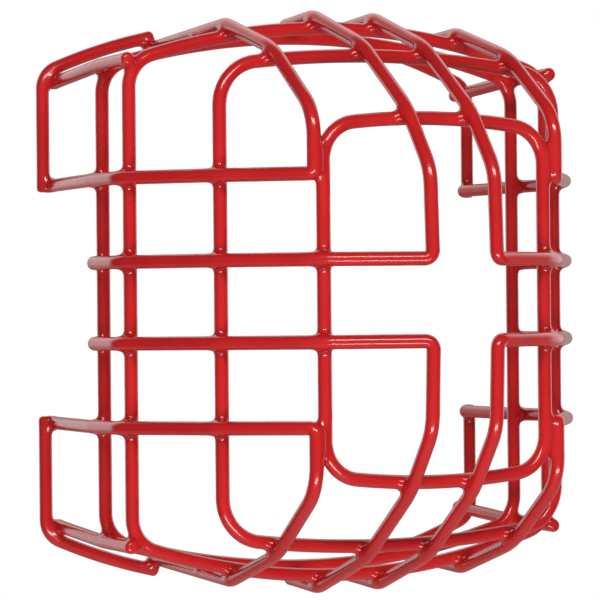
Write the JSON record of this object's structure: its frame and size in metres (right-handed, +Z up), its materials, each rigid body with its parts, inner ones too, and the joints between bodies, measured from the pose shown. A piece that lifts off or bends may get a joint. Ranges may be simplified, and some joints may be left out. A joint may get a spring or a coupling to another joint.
{
  "type": "wall guard",
  "caption": "Domed cage of welded, plastic-coated steel wire with a cross-shaped front opening, fixed to a wall by corner feet to protect a device behind it.",
  "frame": {"origin": "in the wall plane, at the middle of the four feet", "axes": "+Y into the wall, +Z up, +X to the right as seen from the front; the front is towards -Y"},
  "size_m": [0.1666, 0.1411, 0.1882],
  "materials": {
    "red_coating": "glossy thick plastic coating over welded steel wire"
  },
  "bodies": {
    "root": {"ring_rear": "red_coating", "ring_shoulder": "red_coating", "ring_middle": "red_coating", "ring_front": "red_coating", "outer_wire_upper_left": "red_coating", "outer_wire_upper_right": "red_coating", "outer_wire_lower_left": "red_coating", "outer_wire_lower_right": "red_coating", "inner_wire_upper_left": "red_coating", "inner_wire_upper_right": "red_coating", "inner_wire_lower_left": "red_coating", "inner_wire_lower_right": "red_coating", "strut_upper_left": "red_coating", "strut_upper_right": "red_coating", "strut_lower_left": "red_coating", "strut_lower_right": "red_coating", "foot_upper_left": "red_coating", "foot_upper_right": "red_coating", "foot_lower_left": "red_coating", "foot_lower_right": "red_coating"}
  },
  "joints": []
}
